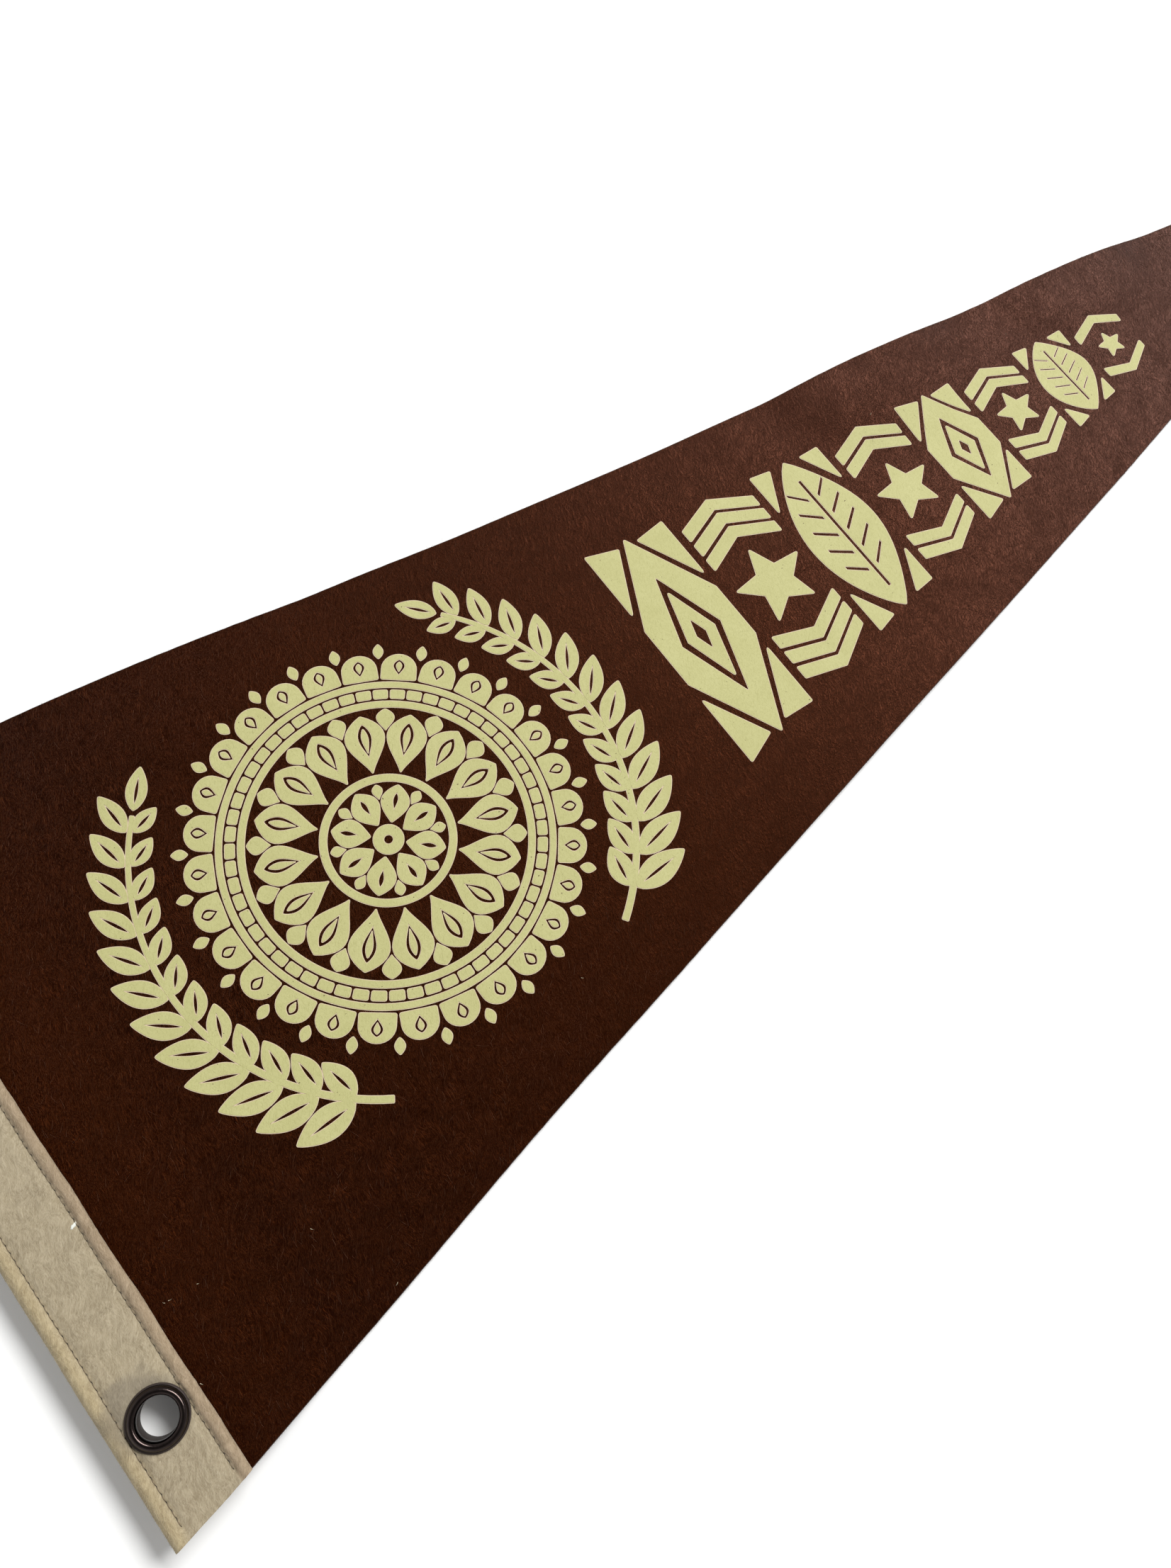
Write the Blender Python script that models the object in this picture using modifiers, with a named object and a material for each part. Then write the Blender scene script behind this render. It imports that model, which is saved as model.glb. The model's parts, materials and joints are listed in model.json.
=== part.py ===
"""Pennant flag of felt: a long triangular cloth in a folded heading with two eyelets, lying face up."""

import math

import bmesh
import bpy
from mathutils import Matrix, Vector

MM = 0.001

# Pennant outline: the hoist stands at x = 0 and the tip points along +X
LENGTH = 700 * MM
HOIST = 230 * MM
EDGE_HOLLOW = 2 * MM          # how far each long edge bows inwards at mid length
TIP_HALF = 0.8 * MM           # the tip is cut a hair blunt

# Felt thicknesses and the gap between two pieces
CLOTH_THICK = 1.6 * MM
LEAF_THICK = 1.4 * MM
GAP = 0.32 * MM

# Heading: a strip folded in two round the hoist edge of the cloth
HEADING = 24 * MM
OUTER_ROW = 4.6 * MM          # stitch rows, from the fold
INNER_ROW = 20.6 * MM
STITCH_SINK = 0.55 * MM       # depth of the channel that a row pulls into the felt
STITCH_REACH = 1.1 * MM       # half width of that channel
THREAD_WIDTH = 0.6 * MM
EDGE_ROUND = 0.3 * MM
CREST = 0.2 * MM              # how far the felt swells up between the inner row and its cut edge
CLOTH_START = 2.9 * MM        # the cloth's hoist edge inside the fold
STACK = 2 * LEAF_THICK + CLOTH_THICK + 2 * GAP

# Curl: the heading stands off the surface, and the cloth settles onto it
FLAT_FROM = 58 * MM
SETTLE = 20 * MM              # swells start this far beyond
CURL_SLOPE = 0.135            # mean slope across the heading
CURL_TWIST = 0.015            # added slope at the lower corner, taken off at the upper

# Eyelets
EYELET_IN = 12.9 * MM         # centre, from the fold
EYELET_UP = 86.4 * MM         # centre, from the middle line
LIP_RADIUS = 8.1 * MM
LIP_THICK = 0.3 * MM
BEAD_RADIUS = 7.55 * MM
BEAD_HEIGHT = 1.9 * MM
THROAT = 5.15 * MM            # clear radius
METAL = 0.5 * MM
FLARE = 1.0 * MM              # how far the barrel's end is turned out over the washer
WASHER_RADIUS = 7.7 * MM
WASHER_THICK = 0.6 * MM
BURR = 0.08 * MM              # rounding of the stamped edges

# How finely the solids are divided
CLOTH_COLUMNS = 50
CLOTH_ROWS = 12
COLUMN_CROWDING = 1.3         # above 1, columns stand closer near the heading, where the cloth bends
HEADING_STATIONS = 28
TURNED_STEPS = 28

# Waviness of the cut upper edge: distance from the heading's fold, then how far the edge stands proud
UPPER_EDGE = (
    (0 * MM, 0.0 * MM),
    (110 * MM, 0.6 * MM),
    (180 * MM, -0.6 * MM),
    (230 * MM, -1.7 * MM),
    (290 * MM, -2.0 * MM),
    (340 * MM, -1.3 * MM),
    (390 * MM, 0.3 * MM),
    (480 * MM, 0.9 * MM),
    (540 * MM, -0.8 * MM),
    (700 * MM, 0.0 * MM),
)
# The same for the lower edge
LOWER_EDGE = (
    (0 * MM, 0.0 * MM),
    (20 * MM, 0.6 * MM),
    (60 * MM, 0.6 * MM),
    (140 * MM, -0.5 * MM),
    (200 * MM, 0.0 * MM),
    (290 * MM, 0.2 * MM),
    (370 * MM, 0.7 * MM),
    (430 * MM, 0.6 * MM),
    (480 * MM, 0.0 * MM),
    (700 * MM, 0.0 * MM),
)

# Low swells where the felt doesn't lie quite flat: place along, place across as a part of the half width,
# length, width and height
SWELLS = (
    (118 * MM, 0.95, 60 * MM, 0.5, 1.6 * MM),
    (385 * MM, 1.00, 46 * MM, 0.8, 2.2 * MM),
    (480 * MM, 0.95, 40 * MM, 0.9, 2.0 * MM),
    (300 * MM, -1.0, 70 * MM, 0.4, 1.0 * MM),
)

COLOURS = {
    "brown felt": ((0.045, 0.014, 0.007), 0.95, 0.0),
    "cream felt": ((0.50, 0.42, 0.29), 0.95, 0.0),
    "gunmetal": ((0.06, 0.055, 0.055), 0.22, 1.0),
}


def smooth(x):
    """Ease from 0 to 1."""
    x = min(max(x, 0.0), 1.0)
    return x * x * (3 - 2 * x)


def read_table(table, x):
    """Value of a two-column table at x, eased between its rows."""
    for (x0, y0), (x1, y1) in zip(table, table[1:]):
        if x <= x1:
            return y0 + (y1 - y0) * smooth((x - x0) / (x1 - x0))
    return table[-1][1]


def half_width(x, upper):
    """Distance from the middle line to the long edge, at x from the fold."""
    s = x / LENGTH
    straight = HOIST / 2 * (1 - s) - EDGE_HOLLOW * 4 * s * (1 - s)
    return max(straight + read_table(UPPER_EDGE if upper else LOWER_EDGE, x), TIP_HALF)


def slope_at(y):
    """Slope of the curl across the heading, steeper towards the lower corner."""
    return CURL_SLOPE - CURL_TWIST * y / (HOIST / 2)


def heading_rise(x, y):
    """Height of the heading's underside: a steady slope across the heading, easing to 0 at FLAT_FROM."""
    slope = slope_at(y)
    settle = FLAT_FROM - HEADING
    at_inner_edge = slope * settle / 2
    if x <= HEADING:
        return at_inner_edge + slope * (HEADING - x)
    return at_inner_edge * (max(FLAT_FROM - x, 0.0) / settle) ** 2


def cloth_rise(x, y, v):
    """Height of the cloth's underside: over the heading's lower leaf, then down to the surface."""
    over_leaf = (LEAF_THICK + GAP) * (1 - smooth((x - HEADING) / (FLAT_FROM - HEADING)))
    swell = 0.0
    for along, across, length, width, height in SWELLS:
        d = ((x - along) / length) ** 2 + ((v - across) / width) ** 2
        swell += height * smooth(1 - d) * smooth((x - FLAT_FROM) / SETTLE)
    return heading_rise(x, y) + over_leaf + swell


def material(name):
    colour, roughness, metallic = COLOURS[name]
    mat = bpy.data.materials.new(name)
    mat.use_nodes = True
    shader = mat.node_tree.nodes["Principled BSDF"]
    shader.inputs["Base Color"].default_value = (*colour, 1.0)
    shader.inputs["Roughness"].default_value = roughness
    shader.inputs["Metallic"].default_value = metallic
    return mat


def add_object(name, mesh, mat, collection):
    obj = bpy.data.objects.new(name, mesh)
    if mat:
        obj.data.materials.append(mat)
    collection.objects.link(obj)
    return obj


def cut(obj, cutter):
    mod = obj.modifiers.new("hole", "BOOLEAN")
    mod.operation = "DIFFERENCE"
    mod.solver = "EXACT"
    mod.object = cutter


def place_x(x):
    """From a distance along the pennant to the frame's X, whose zero is at mid length."""
    return x - LENGTH / 2


def cloth_mesh():
    """The pennant's underside as a grid whose rows follow the outline, for Solidify to thicken upwards."""
    bm = bmesh.new()
    bmesh.ops.create_grid(bm, x_segments=CLOTH_COLUMNS, y_segments=CLOTH_ROWS, size=1.0)
    for vert in bm.verts:
        u = ((vert.co.x + 1) / 2) ** COLUMN_CROWDING
        v = vert.co.y
        x = CLOTH_START + u * (LENGTH - CLOTH_START)
        y = v * half_width(x, v > 0)
        vert.co = Vector((place_x(x), y, cloth_rise(x, y, v)))
    mesh = bpy.data.meshes.new("pennant_cloth")
    bm.to_mesh(mesh)
    bm.free()
    return mesh


def arc(centre, reach, rise, start, stop, steps):
    """Points of a half oval over centre, from one angle to another, in degrees."""
    turns = [math.radians(start + (stop - start) * k / steps) for k in range(steps + 1)]
    return [(centre[0] + reach * math.cos(turn), centre[1] + rise * math.sin(turn)) for turn in turns]


def channel(row, top):
    """The dip that a stitch row pulls into the heading's top, from its inner side to its outer one."""
    sink = top - STITCH_SINK
    return [(row + STITCH_REACH, top), (row + THREAD_WIDTH / 2, sink), (row - THREAD_WIDTH / 2, sink),
            (row - STITCH_REACH, top)]


def heading_section():
    """The folded strip seen from its end, as distance from the fold and height over the underside."""
    top = STACK
    roll = STACK / 2
    middle = (roll, roll)
    inner = roll - LEAF_THICK
    cut_edge = HEADING - EDGE_ROUND
    lower_leaf = [(cut_edge, 0.0), (HEADING, EDGE_ROUND), (HEADING, LEAF_THICK)]
    inside_fold = arc(middle, inner, inner, 270, 90, 6)
    upper_leaf = [(HEADING, top - LEAF_THICK), (HEADING, top - 3 * EDGE_ROUND), (cut_edge, top)]
    crest = [((HEADING + INNER_ROW + STITCH_REACH) / 2, top + CREST)]
    rows = channel(INNER_ROW, top) + [(HEADING / 2, top)] + channel(OUTER_ROW, top)
    outside_fold = arc(middle, roll, roll, 90, 270, 8)
    return lower_leaf + inside_fold + upper_leaf + crest + rows + outside_fold


def heading_mesh():
    """The strip as a loft of its section from the lower cut end to the upper one."""
    bm = bmesh.new()
    rings = []
    section = heading_section()
    for k in range(HEADING_STATIONS + 1):
        v = 2 * k / HEADING_STATIONS - 1
        ring = []
        for x, h in section:
            y = v * half_width(x, v > 0)
            ring.append(bm.verts.new((place_x(x), y, heading_rise(x, y) + h)))
        rings.append(ring)
    for lower, upper in zip(rings, rings[1:]):
        for a, b, c, d in zip(lower, lower[1:] + lower[:1], upper[1:] + upper[:1], upper):
            bm.faces.new((a, b, c, d))
    bm.faces.new(reversed(rings[0]))
    bm.faces.new(rings[-1])
    bmesh.ops.recalc_face_normals(bm, faces=bm.faces)
    mesh = bpy.data.meshes.new("heading")
    bm.to_mesh(mesh)
    bm.free()
    return mesh


def eyelet_profile():
    """Half section of the stamped eyelet: dome, lip, hollow, barrel, and the flare turned out at the back."""
    middle = ((BEAD_RADIUS + THROAT) / 2, GAP + LIP_THICK)
    reach = (BEAD_RADIUS - THROAT) / 2
    rise = BEAD_HEIGHT - LIP_THICK
    barrel = THROAT + METAL
    back = -STACK - 2 * GAP - WASHER_THICK
    dome = arc(middle, reach, rise, 90, 0, 4)
    lip = [(LIP_RADIUS - BURR, GAP + LIP_THICK), (LIP_RADIUS, GAP + LIP_THICK / 2), (LIP_RADIUS - BURR, GAP)]
    hollow = [(BEAD_RADIUS - METAL, GAP)] + arc(middle, reach - METAL, rise - METAL, 0, 180, 5)
    flare = [(barrel, back), (barrel + FLARE, back), (barrel + FLARE + BURR, back - METAL / 2),
             (barrel + FLARE, back - METAL), (barrel, back - METAL), (THROAT, back)]
    inside = arc(middle, reach, rise, 180, 90, 4)[:-1]
    return dome + lip + hollow + flare + inside


def washer_profile():
    """Half section of the back ring."""
    top = -STACK - GAP
    bottom = top - WASHER_THICK
    inner = THROAT + METAL + GAP
    rim = WASHER_RADIUS - BURR
    return [(rim, top), (WASHER_RADIUS, (top + bottom) / 2), (rim, bottom), (inner, bottom), (inner, top)]


def turned(name, profile, mat, collection):
    """A closed half section turned round the local Z axis."""
    mesh = bpy.data.meshes.new(name)
    count = len(profile)
    edges = [(k, (k + 1) % count) for k in range(count)]
    mesh.from_pydata([(r, 0.0, z) for r, z in profile], edges, [])
    obj = add_object(name, mesh, mat, collection)
    mod = obj.modifiers.new("turn", "SCREW")
    mod.axis = "Z"
    mod.steps = TURNED_STEPS
    mod.render_steps = TURNED_STEPS
    mod.use_merge_vertices = True
    mod.merge_threshold = 0.00002
    mod.use_smooth_shade = True
    return obj


def eyelet_seat(side):
    """Where an eyelet sits: its origin on the heading's top face, leaning with the curl."""
    y = side * EYELET_UP
    slope = slope_at(y)
    height = heading_rise(EYELET_IN, y) + STACK
    return Matrix.Translation((place_x(EYELET_IN), y, height)) @ Matrix.Rotation(math.atan(slope), 4, "Y")


def hole_cutter(name, seat, collection):
    """A round bar that opens the felt for an eyelet's barrel."""
    bm = bmesh.new()
    radius = THROAT + METAL + GAP
    round_bar = {"cap_ends": True, "segments": TURNED_STEPS, "radius1": radius, "radius2": radius}
    bmesh.ops.create_cone(bm, depth=4 * STACK, **round_bar)
    mesh = bpy.data.meshes.new(name)
    bm.to_mesh(mesh)
    bm.free()
    obj = add_object(name, mesh, None, collection)
    obj.matrix_world = seat
    obj.hide_render = True
    obj.display_type = "WIRE"
    return obj


def main():
    for old in list(bpy.data.objects):
        bpy.data.objects.remove(old, do_unlink=True)
    parts = bpy.data.collections.new("pennant flag")
    cutters = bpy.data.collections.new("cutters")
    for group in (parts, cutters):
        bpy.context.scene.collection.children.link(group)
    brown, cream, metal = (material(name) for name in COLOURS)

    cloth = add_object("pennant_cloth", cloth_mesh(), brown, parts)
    thicken = cloth.modifiers.new("felt", "SOLIDIFY")
    thicken.thickness = CLOTH_THICK
    thicken.offset = 1.0
    heading = add_object("heading", heading_mesh(), cream, parts)

    for label, side in (("lower", -1), ("upper", 1)):
        seat = eyelet_seat(side)
        cutter = hole_cutter("hole_" + label, seat, cutters)
        cut(cloth, cutter)
        cut(heading, cutter)
        turned("eyelet_" + label, eyelet_profile(), metal, parts).matrix_world = seat
        turned("washer_" + label, washer_profile(), metal, parts).matrix_world = seat


main()
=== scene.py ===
import json
import math
import random

import bmesh
import bpy
from mathutils import Matrix, Quaternion, Vector, noise

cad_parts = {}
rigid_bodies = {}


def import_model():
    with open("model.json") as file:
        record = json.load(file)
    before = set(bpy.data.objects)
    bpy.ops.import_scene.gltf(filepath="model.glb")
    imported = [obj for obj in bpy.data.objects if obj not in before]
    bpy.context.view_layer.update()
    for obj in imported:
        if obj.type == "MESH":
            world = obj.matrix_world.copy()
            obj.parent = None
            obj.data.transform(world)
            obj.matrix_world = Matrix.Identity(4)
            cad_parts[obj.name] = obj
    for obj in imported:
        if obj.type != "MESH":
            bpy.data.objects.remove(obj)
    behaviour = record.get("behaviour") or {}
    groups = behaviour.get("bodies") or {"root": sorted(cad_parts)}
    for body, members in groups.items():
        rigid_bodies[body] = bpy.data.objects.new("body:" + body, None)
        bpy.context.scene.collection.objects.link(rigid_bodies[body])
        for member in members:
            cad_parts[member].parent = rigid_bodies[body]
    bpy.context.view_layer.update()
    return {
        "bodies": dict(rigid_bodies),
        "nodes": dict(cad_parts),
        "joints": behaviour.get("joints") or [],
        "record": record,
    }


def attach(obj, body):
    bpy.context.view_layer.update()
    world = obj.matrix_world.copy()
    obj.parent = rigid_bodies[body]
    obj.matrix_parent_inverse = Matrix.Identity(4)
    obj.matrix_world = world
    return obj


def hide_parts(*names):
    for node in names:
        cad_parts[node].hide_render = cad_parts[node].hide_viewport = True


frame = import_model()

# The pennant: one long triangle of pressed wool felt, 1.6 mm thick, cut with a blade so that its edges are
# crisp but a little fuzzy. It lies face up, flat but for a few low swells, and climbs into the heading.
MM = 0.001
LENGTH = 700 * MM
HOIST = 230 * MM
EDGE_HOLLOW = 2 * MM
TIP_HALF = 0.8 * MM
CLOTH_THICK = 1.6 * MM
LEAF_THICK = 1.4 * MM
GAP = 0.32 * MM
STACK = 2 * LEAF_THICK + CLOTH_THICK + 2 * GAP
CLOTH_START = 2.9 * MM
HEADING = 24 * MM
FLAT_FROM = 58 * MM
SETTLE = 20 * MM
CURL_SLOPE = 0.135
CURL_TWIST = 0.015
# How far each long edge stands proud of its line, in mm: place along the pennant, then the offset
UPPER_EDGE = (
    (0, 0.0), (110, 0.6), (180, -0.6), (230, -1.7), (290, -2.0),
    (340, -1.3), (390, 0.3), (480, 0.9), (540, -0.8), (700, 0.0),
)
LOWER_EDGE = (
    (0, 0.0), (20, 0.6), (60, 0.6), (140, -0.5), (200, 0.0),
    (290, 0.2), (370, 0.7), (430, 0.6), (480, 0.0), (700, 0.0),
)
# Low swells in mm: place along, place across as a part of the half width, length, width likewise, height
SWELLS = (
    (118, 0.95, 60, 0.5, 1.6),
    (385, 1.00, 46, 0.8, 2.2),
    (480, 0.95, 40, 0.9, 2.0),
    (300, -1.00, 70, 0.4, 1.0),
)
FELT_COLUMNS = 230
FELT_ROWS = 64
CUT_RAGGED = 0.10 * MM        # how far the blade's edge wanders
FELT_RELIEF = 0.05 * MM


def smooth(x):
    x = min(max(x, 0.0), 1.0)
    return x * x * (3 - 2 * x)


def edge_offset(x, upper):
    """How far a long edge stands proud at x from the fold."""
    table = UPPER_EDGE if upper else LOWER_EDGE
    for (x0, y0), (x1, y1) in zip(table, table[1:]):
        if x <= x1 * MM:
            return (y0 + (y1 - y0) * smooth((x / MM - x0) / (x1 - x0))) * MM
    return 0.0


def half_width(x, upper):
    """Distance from the middle line to the long edge, at x from the fold."""
    s = x / LENGTH
    straight = HOIST / 2 * (1 - s) - EDGE_HOLLOW * 4 * s * (1 - s)
    return max(straight + edge_offset(x, upper), TIP_HALF)


def slope_at(y):
    return CURL_SLOPE - CURL_TWIST * y / (HOIST / 2)


def heading_rise(x, y):
    """Height of the heading's underside above the surface."""
    slope = slope_at(y)
    settle = FLAT_FROM - HEADING
    at_inner_edge = slope * settle / 2
    if x <= HEADING:
        return at_inner_edge + slope * (HEADING - x)
    return at_inner_edge * (max(FLAT_FROM - x, 0.0) / settle) ** 2


def cloth_rise(x, y):
    """Height of the cloth's underside: over the heading's lower leaf, down to the surface, and its swells."""
    v = y / half_width(x, y > 0)
    over_leaf = (LEAF_THICK + GAP) * (1 - smooth((x - HEADING) / (FLAT_FROM - HEADING)))
    swell = 0.0
    for along, across, length, width, height in SWELLS:
        d = ((x / MM - along) / length) ** 2 + ((v - across) / width) ** 2
        swell += height * MM * smooth(1 - d)
    return heading_rise(x, y) + over_leaf + swell * smooth((x - FLAT_FROM) / SETTLE)


def place_x(x):
    """From a distance along the pennant to the frame's X, whose zero is at mid length."""
    return x - LENGTH / 2


def felt_relief(x, y, size=5 * MM):
    """Soft lumps of pressed wool, from -1 to 1."""
    point = Vector((x / size, y / size, 0))
    return noise.noise(point) * 0.7 + noise.noise(point * 2.7) * 0.3


def mesh_piece(name, points, faces, smooth_under=50):
    """An object from points and faces, shaded smooth but for edges sharper than the given angle."""
    mesh = bpy.data.meshes.new(name)
    mesh.from_pydata([tuple(p) for p in points], [], faces)
    mesh.validate()
    mesh.shade_smooth()
    mesh.set_sharp_from_angle(angle=math.radians(smooth_under))
    obj = bpy.data.objects.new(name, mesh)
    bpy.context.scene.collection.objects.link(obj)
    return obj


def loft(name, rings, smooth_under=50):
    """A closed body through rings of the same number of points."""
    count = len(rings[0])
    faces = []
    for r in range(len(rings) - 1):
        for k in range(count):
            a, b = r * count + k, r * count + (k + 1) % count
            faces.append((a, b, b + count, a + count))
    faces.append(tuple(reversed(range(count))))
    faces.append(tuple(range((len(rings) - 1) * count, len(rings) * count)))
    return mesh_piece(name, [p for ring in rings for p in ring], faces, smooth_under)


def felt_ring(x):
    """One slice across the pennant: underside, one cut edge, face, the other cut edge."""
    cut = ((0.20, 0.0), (0.04, 0.22), (0.0, 0.55), (0.06, 0.84), (0.26, 1.0))
    steps = [2 * k / FELT_ROWS - 1 for k in range(1, FELT_ROWS)]

    def point(side_v, inset, share):
        upper = side_v > 0
        ragged = noise.noise(Vector((x / (3 * MM), 7.0 if upper else -7.0, 0))) * CUT_RAGGED
        y = side_v * (half_width(x, upper) + ragged) - math.copysign(inset * MM, side_v)
        lift = share * (CLOTH_THICK + FELT_RELIEF * felt_relief(x, y))
        return (place_x(x), y, cloth_rise(x, y) + lift)

    squeeze = min(1.0, half_width(x, False) / (3 * MM))
    lower = [point(v, 0.0, 0.0) for v in steps]
    upper = [point(v, 0.0, 1.0) for v in reversed(steps)]
    right = [point(1.0, inset * squeeze, share) for inset, share in cut]
    left = [point(-1.0, inset * squeeze, share) for inset, share in reversed(cut)]
    return lower + right + upper + left


stations = [CLOTH_START + (LENGTH - CLOTH_START) * (k / FELT_COLUMNS) for k in range(FELT_COLUMNS + 1)]
pennant = loft("felt_pennant", [felt_ring(x) for x in stations])


def linear(code, alpha=1.0):
    """An sRGB hex value as the linear colour that shaders use."""
    parts = [int(code[k:k + 2], 16) / 255 for k in (1, 3, 5)]
    return tuple(p / 12.92 if p <= 0.04045 else ((p + 0.055) / 1.055) ** 2.4 for p in parts) + (alpha,)


def new_material(name):
    mat = bpy.data.materials.new(name)
    mat.use_nodes = True
    return mat


def feed(mat, node, inputs):
    """Give each socket its value, or link it to the output that feeds it."""
    for key, value in inputs.items():
        if isinstance(value, bpy.types.NodeSocket):
            mat.node_tree.links.new(value, node.inputs[key])
        else:
            node.inputs[key].default_value = value
    return node


def add(mat, kind, inputs=None, **settings):
    """A node with its settings; inputs gives each socket a value, or the output that feeds it."""
    node = mat.node_tree.nodes.new("ShaderNode" + kind)
    for key, value in settings.items():
        setattr(node, key, value)
    return feed(mat, node, inputs or {})


def shader(mat, inputs):
    """Set the material's Principled shader: a value or an output for each of its sockets."""
    return feed(mat, mat.node_tree.nodes["Principled BSDF"], inputs)


def millimetres(mat):
    """The place on the object in mm, which patterns of a real size are drawn with."""
    where = add(mat, "TexCoord").outputs["Object"]
    return add(mat, "VectorMath", {0: where, 1: (1000, 1000, 1000)}, operation="MULTIPLY").outputs[0]


def felt_strokes(mat, layers, wander=1.8, least=0.53, most=0.72):
    """Lying wool fibres: noise drawn out along each layer's direction, the strongest of the layers winning.
    Each layer is its angle in degrees, stroke length and width in mm, and weight. Noise below least is bare
    ground, and a stroke shows in full at most. Real wool is 0.03 mm thick: the strokes are drawn several
    times as coarse, as tufts of a few fibres, so that they show."""
    in_mm = millimetres(mat)
    drift = add(mat, "TexNoise", {"Vector": in_mm, "Scale": 0.11, "Detail": 1.0})
    centred = add(mat, "VectorMath", {0: drift.outputs["Color"], 1: (0.5, 0.5, 0.5)}, operation="SUBTRACT")
    bent = add(mat, "VectorMath", {0: centred.outputs[0], "Scale": wander * 2}, operation="SCALE")
    lying = add(mat, "VectorMath", {0: in_mm, 1: bent.outputs[0]}, operation="ADD").outputs[0]
    strongest = None
    for angle, length, width, weight in layers:
        turned = add(mat, "Mapping", {"Vector": lying, "Rotation": (0, 0, math.radians(-angle))})
        drawn = add(mat, "VectorMath", {
            0: turned.outputs[0], 1: (1 / length, 1 / width, 1 / width)}, operation="MULTIPLY")
        strands = add(mat, "TexNoise", {
            "Vector": drawn.outputs[0], "Scale": 1.0, "Detail": 2.0, "Roughness": 0.6})
        sharp = add(mat, "MapRange", {
            "Value": strands.outputs[0], "From Min": least, "From Max": most, "To Max": weight})
        if strongest is None:
            strongest = sharp.outputs[0]
        else:
            strongest = add(mat, "Math", {0: strongest, 1: sharp.outputs[0]}, operation="MAXIMUM").outputs[0]
    return in_mm, strongest


def brown_wool_felt():
    """Chocolate-dyed wool felt, pressed and matt: a dark ground with paler fibres that lie mostly one way.
    Seen against the light, the wool gives back a soft brown gloss, uneven where its tufts lie flatter."""
    mat = new_material("brown_wool_felt")
    in_mm, fibres = felt_strokes(
        mat, ((60, 4.2, 0.17, 1.0), (84, 3.6, 0.17, 0.7), (32, 3.0, 0.17, 0.6)), 2.4, 0.56, 0.80)
    tufts = felt_strokes(mat, ((64, 5.0, 1.2, 1.0), (30, 3.4, 1.1, 0.7)), 3.0, 0.44, 0.74)[1]
    cloud = add(mat, "TexNoise", {"Vector": in_mm, "Scale": 0.07, "Detail": 4.0, "Roughness": 0.6}).outputs[0]
    patches = add(mat, "MapRange", {"Value": cloud, "From Min": 0.34, "From Max": 0.66}).outputs[0]
    grain = add(mat, "TexNoise", {"Vector": in_mm, "Scale": 1.5, "Detail": 3.0, "Roughness": 0.6}).outputs[0]
    dots = add(mat, "MapRange", {"Value": grain, "From Min": 0.30, "From Max": 0.60}).outputs[0]
    ground = add(mat, "Mix", {0: patches, 6: linear("#080100"), 7: linear("#110402")}, data_type="RGBA")
    tufted = add(mat, "Mix", {0: tufts, 6: ground.outputs[2], 7: linear("#1c0b05")}, data_type="RGBA")
    speckled = add(mat, "Mix", {0: dots, 6: linear("#040000"), 7: tufted.outputs[2]}, data_type="RGBA")
    colour = add(mat, "Mix", {0: fibres, 6: speckled.outputs[2], 7: linear("#392012")}, data_type="RGBA")
    lying = add(mat, "Math", {0: tufts, 1: patches}, operation="ADD").outputs[0]
    gloss = add(mat, "MapRange", {"Value": lying, "From Max": 1.4, "To Min": 0.46, "To Max": 0.33})
    raised = add(mat, "Math", {0: fibres, 1: 1.8, 2: tufts}, operation="MULTIPLY_ADD").outputs[0]
    height = add(mat, "Math", {0: grain, 1: 1.8, 2: raised}, operation="MULTIPLY_ADD").outputs[0]
    bump = add(mat, "Bump", {"Height": height, "Strength": 0.6, "Distance": 0.10 * MM})
    shader(mat, {
        "Base Color": colour.outputs[2],
        "Roughness": gloss.outputs[0],
        "Specular IOR Level": 0.35,
        "Specular Tint": (0.66, 0.15, 0.03, 1.0),
        "Normal": bump.outputs[0],
    })
    return mat


brown_felt = brown_wool_felt()
pennant.data.materials.append(brown_felt)


# The eyelet holes go through the cloth and both leaves of the heading. They are punched a little wider than
# the barrel, and the eyelet's lip hides their edge.
EYELET_IN = 12.9 * MM
EYELET_UP = 86.4 * MM
THROAT = 5.15 * MM
METAL = 0.5 * MM
SIDES = (("lower", -1), ("upper", 1))


def eyelet_seat(side):
    """Where an eyelet sits: its origin on the heading's top face, leaning with the curl."""
    y = side * EYELET_UP
    height = heading_rise(EYELET_IN, y) + STACK
    lean = Matrix.Rotation(math.atan(slope_at(y)), 4, "Y")
    return Matrix.Translation((place_x(EYELET_IN), y, height)) @ lean


def punch_eyelet_holes(piece):
    """Cut both round holes and keep the result as the piece's mesh."""
    punches = []
    for _, side in SIDES:
        bm = bmesh.new()
        radius = THROAT + METAL + GAP
        bmesh.ops.create_cone(bm, cap_ends=True, segments=48, radius1=radius, radius2=radius, depth=4 * STACK)
        bm.transform(eyelet_seat(side))
        mesh = bpy.data.meshes.new("punch")
        bm.to_mesh(mesh)
        bm.free()
        punch = bpy.data.objects.new("punch", mesh)
        bpy.context.scene.collection.objects.link(punch)
        modifier = piece.modifiers.new("hole", "BOOLEAN")
        modifier.operation = "DIFFERENCE"
        modifier.solver = "EXACT"
        modifier.object = punch
        punches.append(punch)
    evaluated = piece.evaluated_get(bpy.context.evaluated_depsgraph_get())
    punched = bpy.data.meshes.new_from_object(evaluated)
    piece.modifiers.clear()
    piece.data = punched
    for punch in punches:
        bpy.data.objects.remove(punch, do_unlink=True)


punch_eyelet_holes(pennant)
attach(pennant, "root")
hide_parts("pennant_cloth")
widths = [half_width(x, True) + half_width(x, False) for x in stations[1:]]


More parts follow.
